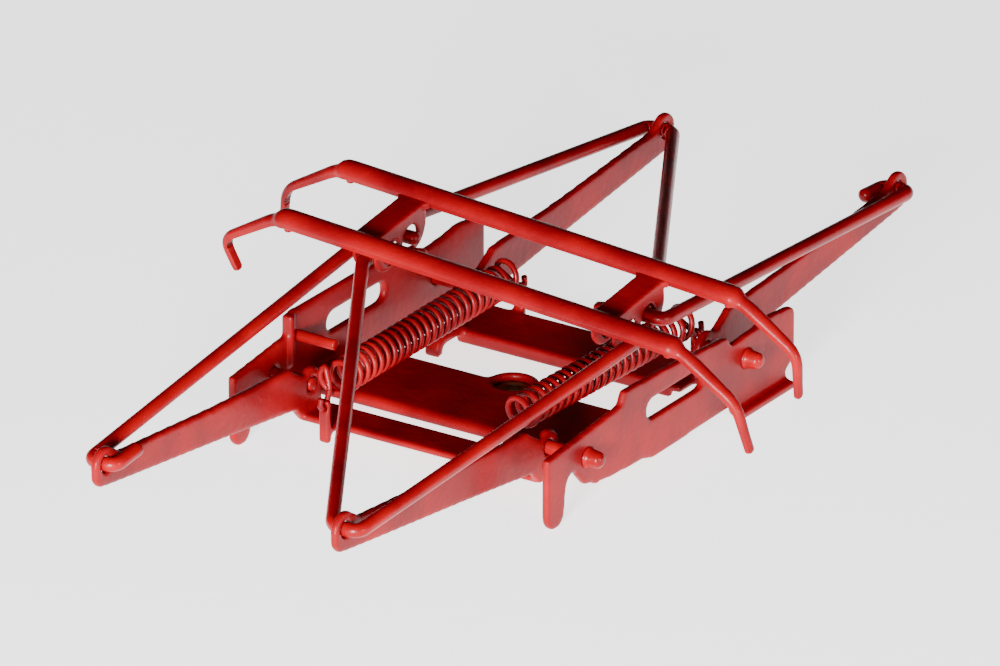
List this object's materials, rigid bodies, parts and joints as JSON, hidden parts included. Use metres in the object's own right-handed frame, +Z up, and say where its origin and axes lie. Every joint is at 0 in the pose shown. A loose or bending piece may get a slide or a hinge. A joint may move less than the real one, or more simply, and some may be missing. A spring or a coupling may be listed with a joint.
{
  "type": "model railway roof pantograph",
  "caption": "Folded diamond roof pantograph for a model locomotive, red enamel, twin lower frames, crossed wire upper arms and a double contact shoe.",
  "frame": {"origin": "on the plane the feet stand on, below the middle of the base", "axes": "+Z up, +X across the track along the contact shoe, +Y along the track"},
  "size_m": [0.0217, 0.0358, 0.0072],
  "materials": {
    "red_enamel": "semi-gloss",
    "spring_wire": "semi-gloss",
    "pin_steel": "semi-gloss",
    "bush_brass": "satin"
  },
  "bodies": {
    "base": {"base_frame": "red_enamel", "mounting_bush": "bush_brass", "pivot_pin_front_left": "pin_steel", "pivot_pin_front_right": "pin_steel", "pivot_pin_back_left": "pin_steel", "pivot_pin_back_right": "pin_steel", "stop_pin_left": "pin_steel", "spring_left": "spring_wire", "spring_right": "spring_wire"},
    "lower_front": {"lower_frame_front": "red_enamel"},
    "lower_back": {"lower_frame_back": "red_enamel"},
    "upper_front": {"upper_wire_front_single": "red_enamel", "upper_wire_front_vee": "red_enamel"},
    "upper_back": {"upper_wire_back_single": "red_enamel", "upper_wire_back_vee": "red_enamel"},
    "shoe": {"horn_strap_front": "red_enamel", "horn_strap_back": "red_enamel", "contact_strip_front": "red_enamel", "contact_strip_back": "red_enamel", "crosspiece_left": "red_enamel", "crosspiece_right": "red_enamel", "strip_rivet_front_left": "red_enamel", "strip_rivet_front_right": "red_enamel", "strip_rivet_back_left": "red_enamel", "strip_rivet_back_right": "red_enamel"}
  },
  "joints": [
    {"name": "front_pivot", "type": "hinge", "parent": "base", "child": "lower_front", "pos_m": [0, -0.005, 0.00195], "axis": [-1, 0, 0], "range_deg": [0, 35]},
    {"name": "back_pivot", "type": "hinge", "parent": "base", "child": "lower_back", "pos_m": [0, 0.005, 0.00195], "axis": [1, 0, 0], "range_deg": [0, 35]},
    {"name": "front_elbow", "type": "hinge", "parent": "lower_front", "child": "upper_front", "pos_m": [0, -0.0173, 0.00352], "axis": [1, 0, 0], "range_deg": [0, 65.8]},
    {"name": "back_elbow", "type": "hinge", "parent": "lower_back", "child": "upper_back", "pos_m": [0, 0.0173, 0.00352], "axis": [-1, 0, 0], "range_deg": [0, 65.8]},
    {"name": "shoe_ears", "type": "hinge", "parent": "upper_front", "child": "shoe", "pos_m": [0, -0.00047, 0.00496], "axis": [-1, 0, 0], "range_deg": [0, 30.8]}
  ],
  "couplings": [
    {"joint": "back_pivot", "follows": "front_pivot", "ratio": 1},
    {"joint": "front_elbow", "follows": "front_pivot", "ratio": 1.88},
    {"joint": "back_elbow", "follows": "front_pivot", "ratio": 1.88},
    {"joint": "shoe_ears", "follows": "front_pivot", "ratio": 0.88}
  ]
}
